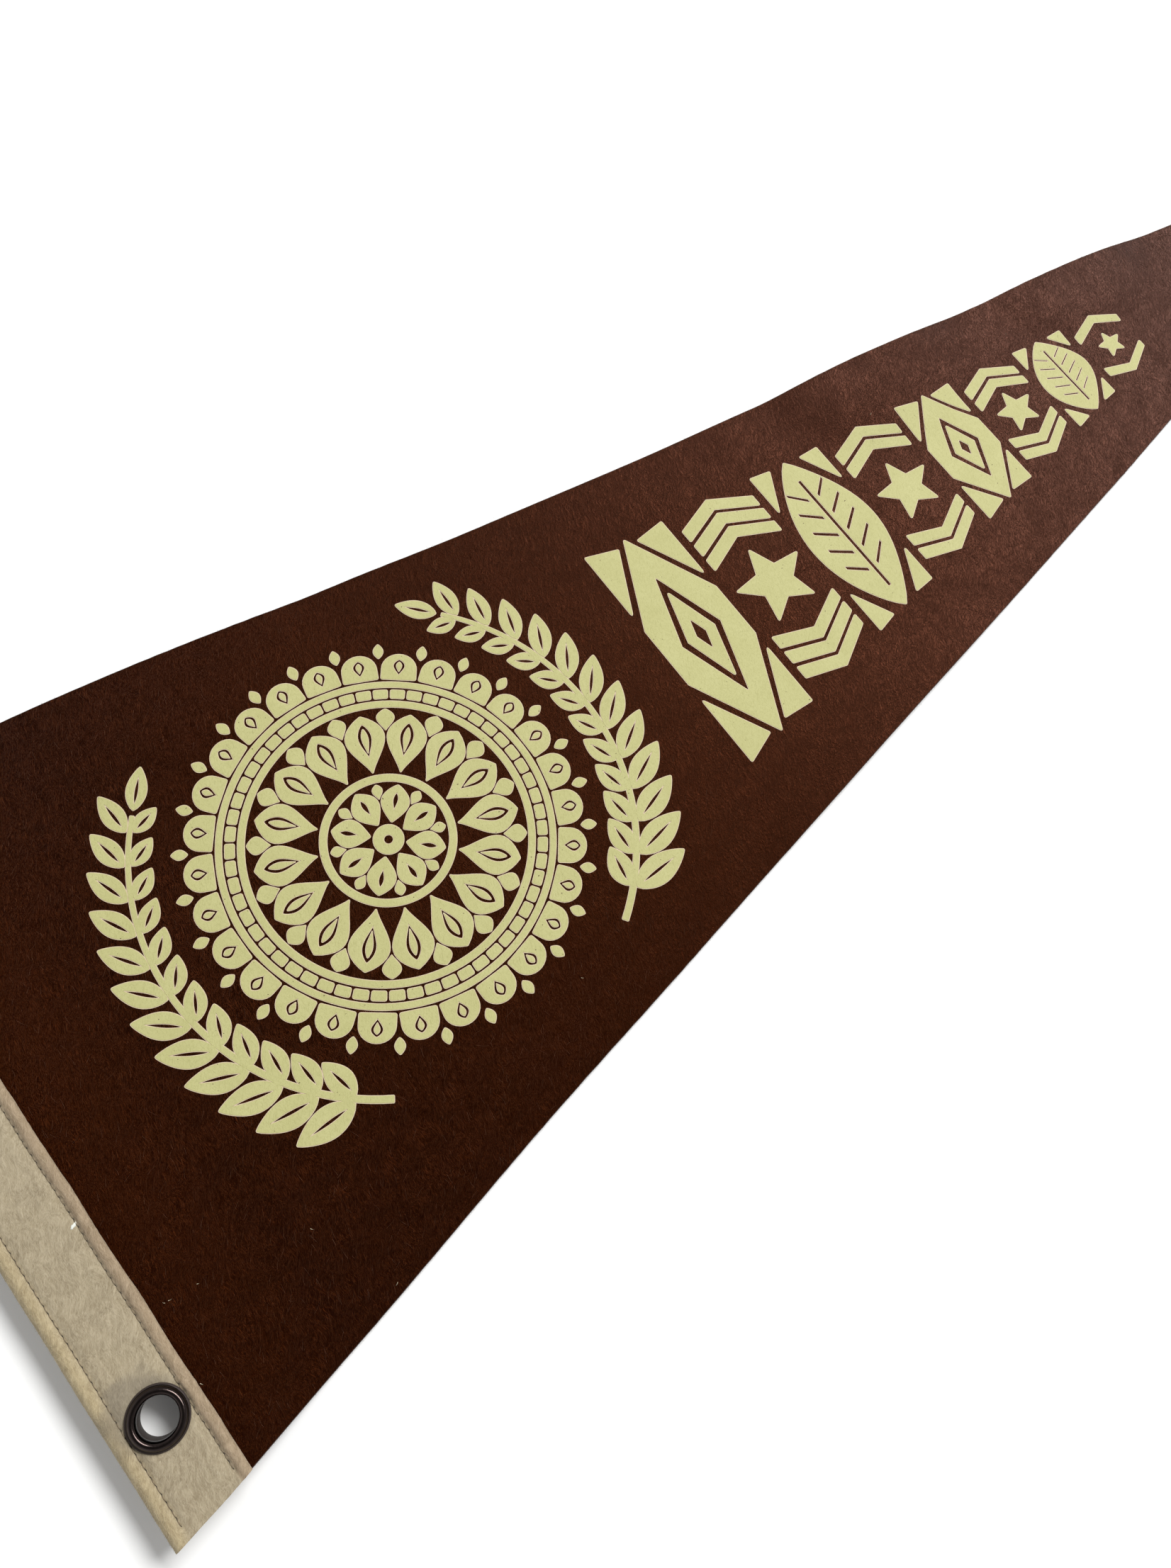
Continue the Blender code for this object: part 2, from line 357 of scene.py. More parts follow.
# The heading: one strip of cream felt, folded in two round the hoist edge and sewn down with two rows of
# stitches. The rows pull channels into the felt, which swells into soft rolls outside them. The strip was cut
# and sewn by hand and eye, so its edge and its rows wander a little.
OUTER_ROW = 4.6 * MM
INNER_ROW = 20.6 * MM
STITCH = 2.3 * MM
ROW_END = 3.6 * MM            # the rows stop this far short of the cut ends
SINK = 0.60 * MM
NEEDLE_HOLE = 0.32 * MM
ROW_WANDER = 0.14 * MM
EDGE_WANDER = 0.30 * MM
HEADING_STATIONS = 520
FACE_POINTS = 76
LIP_RADIUS = 8.1 * MM
# The soft rolls outside the two rows, in mm: place from the fold, half width, height
ROLLS = ((22.5, 1.0, 0.36), (2.5, 1.4, 0.24))
PUCKER = 0.26 * MM             # how high the felt swells round an eyelet


def bell(x, width):
    return math.exp(-(x / width) ** 2)


def wander(y, lane, size):
    """A slow sideways drift along the heading, from -1 to 1; each lane has its own."""
    return noise.noise(Vector((y / size, lane, 0))) + 0.35 * noise.noise(Vector((y / size * 3.1, lane, 5)))


def row_at(row, y):
    """Where a row of stitches runs at height y up the hoist."""
    return row + ROW_WANDER * wander(y, row / MM, 14 * MM)


def row_ends(row):
    return -half_width(row, False) + ROW_END, half_width(row, True) - ROW_END


def needle_places(row):
    """Where the needle went through along a row."""
    low, high = row_ends(row)
    count = round((high - low) / STITCH)
    return [low + (high - low) * k / count for k in range(count + 1)]


def sewn_dip(x, y, row):
    """How deep a row pulls the felt down: a channel that deepens at each needle hole."""
    low, high = row_ends(row)
    fade = smooth((y - low + STITCH) / STITCH) * smooth((high - y + STITCH) / STITCH)
    phase = (y - low) / ((high - low) / round((high - low) / STITCH))
    to_hole = abs(phase - round(phase)) * STITCH
    away = x - row_at(row, y)
    toward_roll = away if row == INNER_ROW else -away
    wide = bell(away, (0.62 if toward_roll > 0 else 1.5) * MM)
    steady = 0.82 + 0.18 * felt_relief(y, row, 9 * MM)
    hole = bell(away, NEEDLE_HOLE) * bell(to_hole, NEEDLE_HOLE)
    return fade * (SINK * steady * wide * (0.86 + 0.14 * bell(to_hole, 0.8 * MM)) + 0.30 * MM * hole)


def heading_top(x, y):
    """Height of the heading's face over its underside."""
    height = STACK
    for k, (place, width, rise) in enumerate(ROLLS):
        height += rise * MM * bell(x - place * MM, width * MM) * (1 + 0.4 * felt_relief(x, y + k, 8 * MM))
    height += 0.13 * MM * felt_relief(x, y, 9 * MM) + 0.06 * MM * felt_relief(x, y, 2.2 * MM)
    for row in (OUTER_ROW, INNER_ROW):
        height -= sewn_dip(x, y, row)
    for _, side in SIDES:
        from_lip = math.hypot(x - EYELET_IN, y - side * EYELET_UP) - LIP_RADIUS
        if from_lip < 6 * MM:
            around = math.atan2(y - side * EYELET_UP, x - EYELET_IN)
            uneven = 1 + 0.3 * math.sin(7 * around + side) + 0.2 * math.sin(4 * around)
            swell = PUCKER * bell(max(from_lip - 0.6 * MM, 0.0), 1.6 * MM)
            height += swell * uneven * smooth(from_lip / MM + 1)
            height -= 0.10 * MM * bell(from_lip, 0.5 * MM)
    return height


def heading_ring(v):
    """The folded strip seen from its end: lower leaf, inside of the fold, upper leaf, face, outside of it."""
    roll = STACK / 2
    inner = roll - LEAF_THICK
    ring = []

    def put(x, height, upper_leaf, ragged=0.0):
        """A point of the ring; the strip's cut edge and its fold drift sideways with y."""
        y = v * half_width(min(x, HEADING), v > 0)
        if abs(v) == 1:
            y += math.copysign(0.12 * MM, v) * felt_relief(x, height * 40, 1.5 * MM)
        drift = EDGE_WANDER * wander(y, 3 if upper_leaf else 8, 17 * MM) * smooth((x - 17 * MM) / (7 * MM))
        drift += 0.18 * MM * wander(y, 12, 21 * MM) * (1 - smooth(x / (6 * MM)))
        fuzz = ragged * felt_relief(y, height, 1.3 * MM)
        ring.append((place_x(x + drift + fuzz), y, heading_rise(x, y) + height))

    def face_height(x):
        y = v * half_width(min(x, HEADING), v > 0)
        return heading_top(x, y)

    for inset, height in ((0.35, 0.0), (0.08, 0.2), (0.0, 0.6), (0.05, 1.1), (0.3, 1.4)):
        put(HEADING - inset * MM, height * MM, False, 0.08 * MM)
    for share in (0.25, 0.5, 0.75):
        put(HEADING - share * (HEADING - roll), LEAF_THICK, False)
    for k in range(7):
        turn = math.radians(270 - 30 * k)
        put(roll + inner * math.cos(turn), roll + inner * math.sin(turn), False)
    for share in (0.75, 0.5, 0.25):
        put(HEADING - share * (HEADING - roll), STACK - LEAF_THICK, True)
    put(HEADING - 0.3 * MM, STACK - LEAF_THICK, True, 0.08 * MM)
    for inset, drop in ((0.06, 1.1), (0.0, 0.75), (0.1, 0.42), (0.32, 0.14)):
        put(HEADING - inset * MM, face_height(HEADING) - drop * MM, True, 0.10 * MM)
    face_from = HEADING - 0.6 * MM
    for k in range(FACE_POINTS + 1):
        x = face_from - (face_from - roll) * k / FACE_POINTS
        put(x, face_height(x), True)
    for k in range(1, 12):
        turn = math.radians(90 + 15 * k)
        x, height = roll + roll * math.cos(turn), roll + roll * math.sin(turn)
        share = max((height - roll) / roll, 0.0)
        put(x, height + (face_height(x) - STACK) * share, True, 0.10 * MM)
    for k in range(30):
        x = roll + (HEADING - 0.35 * MM - roll) * k / 30
        y = v * half_width(x, v > 0)
        put(x, 0.5 * sewn_dip(x, y, OUTER_ROW) + 0.5 * sewn_dip(x, y, INNER_ROW), False)
    return ring


slices = [heading_ring(2 * k / HEADING_STATIONS - 1) for k in range(HEADING_STATIONS + 1)]
heading = loft("felt_heading", slices)
punch_eyelet_holes(heading)


def cream_wool_felt():
    """Cream wool felt, mottled in soft streaks: paler and yellower along the fold, pinker on the roll beside
    the brown wool, and greyer in a ragged patch round each eyelet."""
    mat = new_material("cream_wool_felt")
    in_mm, fibres = felt_strokes(
        mat, ((62, 2.6, 0.26, 1.0), (92, 2.2, 0.26, 0.8), (35, 2.0, 0.26, 0.7)), 1.8, 0.46, 0.92)
    streaks = felt_strokes(mat, ((62, 5.0, 1.5, 1.0), (84, 4.0, 1.3, 0.8)), 3.4, 0.45, 0.72)[1]
    cloud = add(mat, "TexNoise", {"Vector": in_mm, "Scale": 0.17, "Detail": 4.0, "Roughness": 0.6}).outputs[0]
    patches = add(mat, "MapRange", {"Value": cloud, "From Min": 0.36, "From Max": 0.64}).outputs[0]
    grain = add(mat, "TexNoise", {"Vector": in_mm, "Scale": 1.9, "Detail": 3.0}).outputs[0]
    slow = add(mat, "TexNoise", {"Vector": in_mm, "Scale": 0.035, "Detail": 2.0}).outputs[0]
    uneven = add(mat, "Math", {0: slow, 1: 1.4, 2: -0.20}, operation="MULTIPLY_ADD").outputs[0]
    soiled = add(mat, "Math", {0: patches, 1: uneven}, operation="MULTIPLY").outputs[0]
    ground = add(mat, "Mix", {0: soiled, 6: linear("#786b54"), 7: linear("#a29579")}, data_type="RGBA")
    streaked = add(mat, "Mix", {0: streaks, 6: ground.outputs[2], 7: linear("#b3a68c")}, data_type="RGBA")
    speckled = add(mat, "Mix", {0: grain, 6: linear("#8b7e66"), 7: streaked.outputs[2]}, data_type="RGBA")
    fibrous = add(mat, "Mix", {0: fibres, 6: speckled.outputs[2], 7: linear("#bdb198")}, data_type="RGBA")
    colour = fibrous.outputs[2]
    across = add(mat, "SeparateXYZ", {0: in_mm}).outputs[0]
    fold = place_x(0) / MM
    for start, stop, tint in (
        (fold + 5.6, fold + 3.2, (1.10, 1.07, 0.96, 1.0)),
        (fold + 20.4, fold + 21.4, (0.90, 0.82, 0.80, 1.0)),
    ):
        share = add(mat, "MapRange", {"Value": across, "From Min": start, "From Max": stop}).outputs[0]
        tinted = add(mat, "Mix", {0: share, 6: colour, 7: tint}, data_type="RGBA", blend_type="MULTIPLY")
        colour = tinted.outputs[2]
    # A ragged greyer patch round each eyelet, centred 3 mm towards the fold and 4 mm towards the upper edge.
    for _, side in SIDES:
        seat = (place_x(EYELET_IN) / MM - 3, side * EYELET_UP / MM + 4, 9)
        away = add(mat, "VectorMath", {0: in_mm, 1: seat}, operation="DISTANCE").outputs["Value"]
        ragged = add(mat, "Math", {0: cloud, 1: 9.0, 2: away}, operation="MULTIPLY_ADD").outputs[0]
        grey_patch = add(mat, "MapRange", {
            "Value": ragged, "From Min": 15.5, "From Max": 12.0, "To Max": 0.5}).outputs[0]
        colour = add(mat, "Mix", {0: grey_patch, 6: colour, 7: linear("#6e675c")}, data_type="RGBA").outputs[2]
    raised = add(mat, "Math", {0: streaks, 1: 1.5, 2: fibres}, operation="MULTIPLY_ADD").outputs[0]
    height = add(mat, "Math", {0: raised, 1: grain}, operation="ADD").outputs[0]
    bump = add(mat, "Bump", {"Height": height, "Strength": 0.5, "Distance": 0.10 * MM})
    shader(mat, {
        "Base Color": colour,
        "Roughness": 0.9,
        "Specular IOR Level": 0.2,
        "Sheen Weight": 0.12,
        "Sheen Roughness": 0.5,
        "Normal": bump.outputs[0],
    })
    return mat


heading.data.materials.append(cream_wool_felt())
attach(heading, "root")
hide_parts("heading")


# The sewing: brown spun polyester thread, about a quarter of a millimetre thick. Each stitch lies in its
# channel and dives into a needle hole at both ends, and the bobbin's stitches do the same on the back.
THREAD = 0.12 * MM
THREAD_SIDES = 6
THREAD_STEPS = 10
DIVE = 0.30 * MM


def tube(points, radii):
    """Points and faces of a thin tube along points, closed at both ends."""
    verts, faces = [], []
    for k, (point, radius) in enumerate(zip(points, radii)):
        ahead = points[min(k + 1, len(points) - 1)] - points[max(k - 1, 0)]
        side = ahead.normalized().orthogonal().normalized()
        up = ahead.normalized().cross(side)
        for j in range(THREAD_SIDES):
            turn = 2 * math.pi * j / THREAD_SIDES
            verts.append(point + radius * (math.cos(turn) * side + math.sin(turn) * up))
    for k in range(len(points) - 1):
        for j in range(THREAD_SIDES):
            a, b = k * THREAD_SIDES + j, k * THREAD_SIDES + (j + 1) % THREAD_SIDES
            faces.append((a, b, b + THREAD_SIDES, a + THREAD_SIDES))
    faces.append(tuple(reversed(range(THREAD_SIDES))))
    faces.append(tuple(range((len(points) - 1) * THREAD_SIDES, len(points) * THREAD_SIDES)))
    return verts, faces


def join_shapes(name, shapes, smooth_under=60):
    """One object from many separate (points, faces)."""
    verts, faces = [], []
    for points, loops in shapes:
        start = len(verts)
        verts += points
        faces += [tuple(start + k for k in loop) for loop in loops]
    return mesh_piece(name, verts, faces, smooth_under)


def dive(share):
    """How near to a needle hole a point of a stitch is, 0 at its middle and 1 in the hole."""
    return max(bell(share, 0.20), bell(1 - share, 0.20))


def stitch_row(row, on_face):
    """One tube for each stitch of a row, on the heading's face or on its back."""
    shapes = []
    places = needle_places(row)
    for first, second in zip(places, places[1:]):
        middle = (first + second) / 2
        points = []
        for k in range(THREAD_STEPS + 1):
            y = first + (second - first) * k / THREAD_STEPS
            x = row_at(row, y)
            sunk = DIVE * dive(k / THREAD_STEPS)
            if on_face:
                bed = heading_top(row_at(row, middle), middle) + 0.06 * MM - sunk
            else:
                bed = 0.5 * sewn_dip(row_at(row, middle), middle, row) - 0.05 * MM + sunk
            points.append(Vector((place_x(x), y, heading_rise(x, y) + bed)))
        shapes.append(tube(points, [THREAD] * len(points)))
    return shapes


stitches = []
for row in (OUTER_ROW, INNER_ROW):
    stitches += stitch_row(row, True) + stitch_row(row, False)
sewing = join_shapes("sewing_thread", stitches)
in_hole = sewing.data.attributes.new("in_hole", "FLOAT", "POINT")
for k in range(len(sewing.data.vertices)):
    in_hole.data[k].value = dive(k // THREAD_SIDES % (THREAD_STEPS + 1) / THREAD_STEPS)


def brown_polyester_thread():
    """Two-ply sewing thread, spun and softly shiny, its twist drawn as slanting bands 0.5 mm apart. Where it
    dives into a needle hole it is painted near black, as painted shade of the hole, and wool lies over it in
    between."""
    mat = new_material("brown_polyester_thread")
    in_mm = millimetres(mat)
    slanted = add(mat, "Mapping", {"Vector": in_mm, "Rotation": (0, 0, math.radians(35))})
    ply = add(mat, "TexWave", {"Vector": slanted.outputs[0], "Scale": 0.62, "Distortion": 0.4})
    hole_shade = add(mat, "Attribute", attribute_name="in_hole").outputs["Fac"]
    twist = ply.outputs[1]
    lit = add(mat, "Mix", {0: twist, 6: linear("#6b5d49"), 7: linear("#7d6e57")}, data_type="RGBA")
    # Towards each needle hole the thread is painted near black: painted shade of the hole.
    colour = add(mat, "Mix", {0: hole_shade, 6: lit.outputs[2], 7: linear("#120a05")}, data_type="RGBA")
    bump = add(mat, "Bump", {"Height": twist, "Strength": 0.6, "Distance": 0.05 * MM})
    shader(mat, {"Base Color": colour.outputs[2], "Roughness": 0.75, "Normal": bump.outputs[0]})
    return mat


sewing.data.materials.append(brown_polyester_thread())
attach(sewing, "root")


# The eyelets: stamped steel rings plated in polished black nickel, with a thin lip, a domed rim and a barrel.
# The barrel goes through the felt and is turned out over a flat washer on the back.
LIP_THICK = 0.3 * MM
BEAD_RADIUS = 7.55 * MM
BEAD_HEIGHT = 1.9 * MM
FLARE = 1.0 * MM
WASHER_RADIUS = 7.7 * MM
WASHER_THICK = 0.6 * MM
TURN_STEPS = 112


def arc(centre, reach, rise, start, stop, steps):
    """Points of an oval over centre, from one angle to another, in degrees."""
    turns = [math.radians(start + (stop - start) * k / steps) for k in range(steps + 1)]
    return [(centre[0] + reach * math.cos(turn), centre[1] + rise * math.sin(turn)) for turn in turns]


def eyelet_profile():
    """Half section from the dome's crest: outer side, lip, hollow, barrel, flare, and up the inside."""
    middle = ((BEAD_RADIUS + THROAT) / 2, GAP + LIP_THICK)
    reach = (BEAD_RADIUS - THROAT) / 2
    rise = BEAD_HEIGHT - LIP_THICK
    barrel = THROAT + METAL
    back = -STACK - 2 * GAP - WASHER_THICK
    lip_top = GAP + LIP_THICK
    lip_round = LIP_THICK / 2
    dome = arc(middle, reach, rise, 90, 8, 14)
    crease = [(BEAD_RADIUS + 0.06 * MM, lip_top + 0.04 * MM), (BEAD_RADIUS + 0.2 * MM, lip_top)]
    lip = crease + [(LIP_RADIUS - 0.22 * MM, lip_top - 0.02 * MM)]
    lip += arc((LIP_RADIUS - lip_round, GAP + lip_round), lip_round, lip_round, 80, -90, 6)
    hollow = [(BEAD_RADIUS - METAL, GAP)] + arc(middle, reach - METAL, rise - METAL, 0, 180, 10)
    curl = arc((barrel + FLARE, back - METAL / 2), 0.16 * MM, METAL / 2, 90, -90, 6)
    inner_bend = arc((barrel + 0.25 * MM, back), METAL + 0.25 * MM, METAL, 270, 180, 5)
    inside = arc(middle, reach, rise, 180, 90, 14)[:-1]
    in_throat = [(THROAT, -0.6 * MM)]
    return dome + lip + hollow + [(barrel, back)] + curl + inner_bend + in_throat + inside


def washer_profile():
    """Half section of the flat ring: its edge is rounded and its hole bevelled."""
    top = -STACK - GAP
    bottom = top - WASHER_THICK
    inner = THROAT + METAL + GAP
    bevel = 0.1 * MM
    rim = arc((WASHER_RADIUS - 0.12 * MM, (top + bottom) / 2), 0.12 * MM, WASHER_THICK / 2, 90, -90, 8)
    hole = [(inner + bevel, bottom), (inner, bottom + bevel), (inner, top - bevel), (inner + bevel, top)]
    return rim + hole


def turned(name, profile, seat):
    """A closed half section turned round the seat's axis."""
    points, faces = [], []
    count = len(profile)
    for k in range(TURN_STEPS):
        turn = 2 * math.pi * k / TURN_STEPS
        points += [seat @ Vector((r * math.cos(turn), r * math.sin(turn), z)) for r, z in profile]
        here, ahead = k * count, (k + 1) % TURN_STEPS * count
        for j in range(count):
            up = (j + 1) % count
            faces.append((here + j, here + up, ahead + up, ahead + j))
    return mesh_piece(name, points, faces, 42)


def polished_black_nickel():
    """Black nickel plated on stamped steel and polished: a dark mirror with a warm cast, fine rub marks and a
    slight haze. Down the barrel and along the lip it is thin, and has tarnished to a dull brown."""
    mat = new_material("polished_black_nickel")
    in_mm = millimetres(mat)
    haze = add(mat, "TexNoise", {"Vector": in_mm, "Scale": 0.7, "Detail": 4.0, "Roughness": 0.65}).outputs[0]
    scratched = add(mat, "VectorMath", {0: in_mm, 1: (9.0, 0.9, 0.9)}, operation="MULTIPLY")
    rub = add(mat, "TexNoise", {"Vector": scratched.outputs[0], "Scale": 1.0, "Detail": 3.0}).outputs[0]
    tarnish = add(mat, "Attribute", attribute_name="tarnish").outputs["Fac"]
    plated = add(mat, "Mix", {0: haze, 6: linear("#2e2726"), 7: linear("#463d3a")}, data_type="RGBA")
    colour = add(mat, "Mix", {0: tarnish, 6: plated.outputs[2], 7: linear("#2b1e16")}, data_type="RGBA")
    worn = add(mat, "MapRange", {
        "Value": rub, "From Min": 0.3, "From Max": 0.75, "To Min": 0.14, "To Max": 0.28})
    rough = add(mat, "Math", {0: tarnish, 1: 0.4, 2: worn.outputs[0]}, operation="MULTIPLY_ADD")
    metal = add(mat, "Math", {0: tarnish, 1: -0.9, 2: 1.0}, operation="MULTIPLY_ADD")
    bump = add(mat, "Bump", {"Height": haze, "Strength": 0.15, "Distance": 0.05 * MM})
    shader(mat, {
        "Base Color": colour.outputs[2],
        "Metallic": metal.outputs[0],
        "Roughness": rough.outputs[0],
        "Normal": bump.outputs[0],
    })
    return mat


def tarnished(radius, height):
    """How dull the plating has gone: fully on the lip and down the barrel, not at all on the dome."""
    on_lip = smooth((radius - BEAD_RADIUS) / (0.3 * MM))
    in_barrel = smooth((0.5 * MM - height) / (1.2 * MM)) if radius < THROAT + METAL else 0.0
    return max(on_lip, in_barrel)


black_nickel = polished_black_nickel()
for label, side in SIDES:
    for kind, profile in (("eyelet", eyelet_profile()), ("washer", washer_profile())):
        ring = turned(f"{kind}_ring_{label}", profile, eyelet_seat(side))
        dull = ring.data.attributes.new("tarnish", "FLOAT", "POINT")
        for k in range(len(ring.data.vertices)):
            dull.data[k].value = tarnished(*profile[k % len(profile)])
        ring.data.materials.append(black_nickel)
        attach(ring, "root")
        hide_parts(f"{kind}_{label}")


# The print: a khaki transfer film, cut to shape and hot pressed onto the felt, with a thin pale line of glue
# round each piece. Its corners are a little rounded, and the felt's grain shows through its skin.
FILM_HEIGHT = 0.16 * MM
GLUE_LINE = 0.20 * MM
GLUE_HEIGHT = 0.09 * MM
FILM_EDGE = 0.04 * MM         # how far the film's top edge is softened
FILM_CORNER = 0.6             # in mm, as all outlines are
PATCH = 4.5                   # the film is divided this finely, in mm, to follow the felt


def rounded(points, radius=FILM_CORNER, steps=4):
    """Outline in mm with each sharp corner turned into a short arc; gentle bends stay."""
    out = []
    count = len(points)
    for k in range(count):
        here = Vector(points[k])
        back = Vector(points[k - 1]) - here
        ahead = Vector(points[(k + 1) % count]) - here
        bend = back.angle(ahead, math.pi)
        if not math.radians(1) < bend < math.radians(150):
            out.append(here)
            continue
        reach = min(radius / math.tan(bend / 2), back.length * 0.45, ahead.length * 0.45)
        start, stop = here + back.normalized() * reach, here + ahead.normalized() * reach
        for j in range(steps + 1):
            t = j / steps
            out.append((1 - t) ** 2 * start + 2 * t * (1 - t) * here + t ** 2 * stop)
    return out


def grown(points, distance):
    """The outline moved outwards; an outline runs anticlockwise, and a hole clockwise."""
    out = []
    count = len(points)
    for k in range(count):
        back = (points[k] - points[k - 1]).normalized()
        ahead = (points[(k + 1) % count] - points[k]).normalized()
        normal = Vector((back.y + ahead.y, -back.x - ahead.x))
        normal = normal.normalized() if normal.length > 1e-6 else Vector((back.y, -back.x))
        out.append(points[k] + normal * distance / max(normal.dot(Vector((back.y, -back.x))), 0.5))
    return out


def area_of(points):
    return sum(a.x * b.y - b.x * a.y for a, b in zip(points, points[1:] + points[:1])) / 2


def wound(points, anticlockwise):
    points = [Vector(p) for p in points]
    return points if (area_of(points) > 0) == anticlockwise else points[::-1]


def film_shape(bm, outline, holes=()):
    """Add one piece of film: a low glue step, a wall and a soft top edge, round its outline and its holes."""
    glue, film = 0, 1
    steps = (
        (GLUE_LINE, -0.25 * MM, glue),
        (GLUE_LINE, GLUE_HEIGHT, glue),
        (0.0, GLUE_HEIGHT, glue),
        (0.0, FILM_HEIGHT - FILM_EDGE, film),
        (-FILM_EDGE, FILM_HEIGHT, film),
    )
    loops = [wound(outline, True)] + [wound(hole, False) for hole in holes]
    own = bmesh.new()
    floor_edges, top_edges = [], []
    for loop in loops:
        rings = []
        for grow, height, _ in steps:
            moved = grown(loop, grow / MM)
            rings.append([own.verts.new((p.x, p.y, height)) for p in moved])
        count = len(loop)
        for level in range(len(rings) - 1):
            for k in range(count):
                corners = (rings[level][k], rings[level][(k + 1) % count],
                           rings[level + 1][(k + 1) % count], rings[level + 1][k])
                own.faces.new(corners).material_index = steps[level + 1][2]
        floor_edges += [own.edges.get((rings[0][k], rings[0][(k + 1) % count])) for k in range(count)]
        top_edges += [own.edges.get((rings[-1][k], rings[-1][(k + 1) % count])) for k in range(count)]
    for edges, index in ((floor_edges, glue), (top_edges, film)):
        made = bmesh.ops.triangle_fill(own, use_beauty=True, edges=edges, normal=(0, 0, 1))
        for face in made["geom"]:
            if isinstance(face, bmesh.types.BMFace):
                face.material_index = index
    for axis, across in enumerate((Vector((1, 0, 0)), Vector((0, 1, 0)))):
        places = [v.co[axis] for v in own.verts]
        cut = math.ceil(min(places) / PATCH + 0.2) * PATCH
        while cut < max(places) - 0.2 * PATCH:
            everything = own.verts[:] + own.edges[:] + own.faces[:]
            bmesh.ops.bisect_plane(own, geom=everything, dist=1e-5, plane_co=across * cut, plane_no=across)
            cut += PATCH
    mesh = bpy.data.meshes.new("film")
    own.to_mesh(mesh)
    own.free()
    bm.from_mesh(mesh)
    bpy.data.meshes.remove(mesh)


def khaki_transfer_film():
    """Pale olive polyurethane film: satin, with the felt's fibres pressed softly through its skin, and here
    and there a dark speck of wool caught under it."""
    mat = new_material("khaki_transfer_film")
    in_mm, fibres = felt_strokes(mat, ((60, 1.5, 0.30, 1.0), (110, 1.2, 0.32, 0.8), (15, 1.2, 0.3, 0.7)), 1.2)
    peel = add(mat, "TexNoise", {"Vector": in_mm, "Scale": 1.3, "Detail": 3.0, "Roughness": 0.55}).outputs[0]
    cloud = add(mat, "TexNoise", {"Vector": in_mm, "Scale": 0.10, "Detail": 3.0}).outputs[0]
    speck = add(mat, "TexNoise", {"Vector": in_mm, "Scale": 1.5, "Detail": 0.0}).outputs[0]
    spots = add(mat, "MapRange", {"Value": speck, "From Min": 0.855, "From Max": 0.875}).outputs[0]
    ground = add(mat, "Mix", {0: cloud, 6: linear("#b0ad74"), 7: linear("#bfbc86")}, data_type="RGBA")
    grained = add(mat, "Mix", {0: fibres, 6: ground.outputs[2], 7: linear("#a9a66e")}, data_type="RGBA")
    colour = add(mat, "Mix", {0: spots, 6: grained.outputs[2], 7: linear("#5a4a30")}, data_type="RGBA")
    height = add(mat, "Math", {0: peel, 1: fibres}, operation="ADD").outputs[0]
    bump = add(mat, "Bump", {"Height": height, "Strength": 0.35, "Distance": 0.07 * MM})
    shader(mat, {
        "Base Color": colour.outputs[2],
        "Roughness": 0.66,
        "Specular IOR Level": 0.25,
        "Normal": bump.outputs[0],
    })
    return mat


def pale_glue_line():
    """Hot-melt glue, squeezed out round the film: pale, with a faint brown cast from the wool in it."""
    mat = new_material("pale_glue_line")
    where = add(mat, "TexCoord").outputs["Object"]
    mottle = add(mat, "TexNoise", {"Vector": where, "Scale": 900.0, "Detail": 2.0}).outputs[0]
    colour = add(mat, "Mix", {0: mottle, 6: linear("#b59c80"), 7: linear("#dccdae")}, data_type="RGBA")
    shader(mat, {"Base Color": colour.outputs[2], "Roughness": 0.6})
    return mat


glue_line = pale_glue_line()
film = khaki_transfer_film()


def film_piece(name, shapes):
    """Press a group of film shapes, drawn in mm from the fold and the middle line, onto the felt's face."""
    bm = bmesh.new()
    for shape in shapes:
        film_shape(bm, shape[0], shape[1:])
    for vert in bm.verts:
        x, y = vert.co.x * MM, vert.co.y * MM
        face = cloth_rise(x, y) + CLOTH_THICK + FELT_RELIEF * felt_relief(x, y)
        vert.co = Vector((place_x(x), y, face + vert.co.z))
    bmesh.ops.recalc_face_normals(bm, faces=bm.faces)
    mesh = bpy.data.meshes.new(name)
    bm.to_mesh(mesh)
    bm.free()
    mesh.shade_smooth()
    mesh.set_sharp_from_angle(angle=math.radians(20))
    mesh.materials.append(glue_line)
    mesh.materials.append(film)
    obj = bpy.data.objects.new(name, mesh)
    bpy.context.scene.collection.objects.link(obj)
    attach(obj, "root")
    return obj


def spun(points, turn, centre):
    """Outline turned about the origin and moved to centre."""
    c, s = math.cos(turn), math.sin(turn)
    return [Vector((centre[0] + x * c - y * s, centre[1] + x * s + y * c)) for x, y in points]


def band(low, high, half_angle, steps=8):
    """Part of a ring between two radii, pointing along +Y, as wide as twice half_angle."""
    turns = [half_angle * (2 * k / steps - 1) for k in range(steps + 1)]
    outer = [(high * math.sin(-t), high * math.cos(t)) for t in turns]
    inner = [(low * math.sin(t), low * math.cos(t)) for t in turns]
    return outer + inner


def leaf(length, width, steps=16, fullest=0.45):
    """A pointed leaf from the origin along +Y."""
    right, left = [], []
    for k in range(steps + 1):
        t = k / steps
        bulge = width / 2 * math.sin(math.pi * t ** (math.log(0.5) / math.log(fullest))) ** 0.85
        right.append((bulge, length * t))
        left.append((-bulge, length * t))
    return right + left[::-1][1:-1]


def shifted(points, up):
    return [(x, y + up) for x, y in points]


def circle(radius, steps=64):
    turns = [2 * math.pi * k / steps for k in range(steps)]
    return [(radius * math.cos(turn), radius * math.sin(turn)) for turn in turns]


def lobe(width, straight, height, steps=14):
    """A tab with straight sides and a round top, standing on the origin."""
    turns = [math.pi * k / steps for k in range(steps + 1)]
    top = [(width / 2 * math.cos(turn), straight + (height - straight) * math.sin(turn)) for turn in turns]
    return [(-width / 2, 0.0), (width / 2, 0.0)] + top


